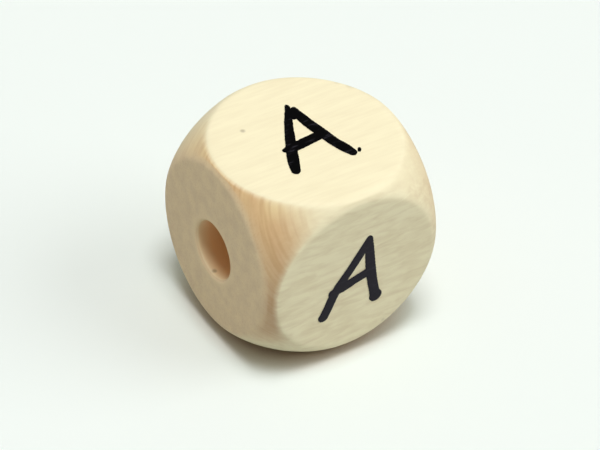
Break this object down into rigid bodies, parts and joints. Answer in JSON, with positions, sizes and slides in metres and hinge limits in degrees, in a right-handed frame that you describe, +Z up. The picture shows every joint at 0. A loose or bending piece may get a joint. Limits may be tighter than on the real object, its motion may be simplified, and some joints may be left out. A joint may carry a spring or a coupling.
{
  "type": "wooden letter bead",
  "caption": "Wooden letter bead: a cube turned round at its corners and drilled through for a cord, with a painted character on the flats round the bore.",
  "frame": {"origin": "middle of the bead, on the axis of the bore", "axes": "+X along the bore, -Y out of the front character's flat, +Z up out of the upper character's flat"},
  "size_m": [0.01, 0.01, 0.01],
  "materials": {
    "bead": "pale close-grained wood, tumbled smooth and left bare or thinly waxed",
    "ink": "thin film of matt black paint, for the characters of the visual model"
  },
  "bodies": {
    "root": {"bead": "bead"}
  },
  "joints": []
}
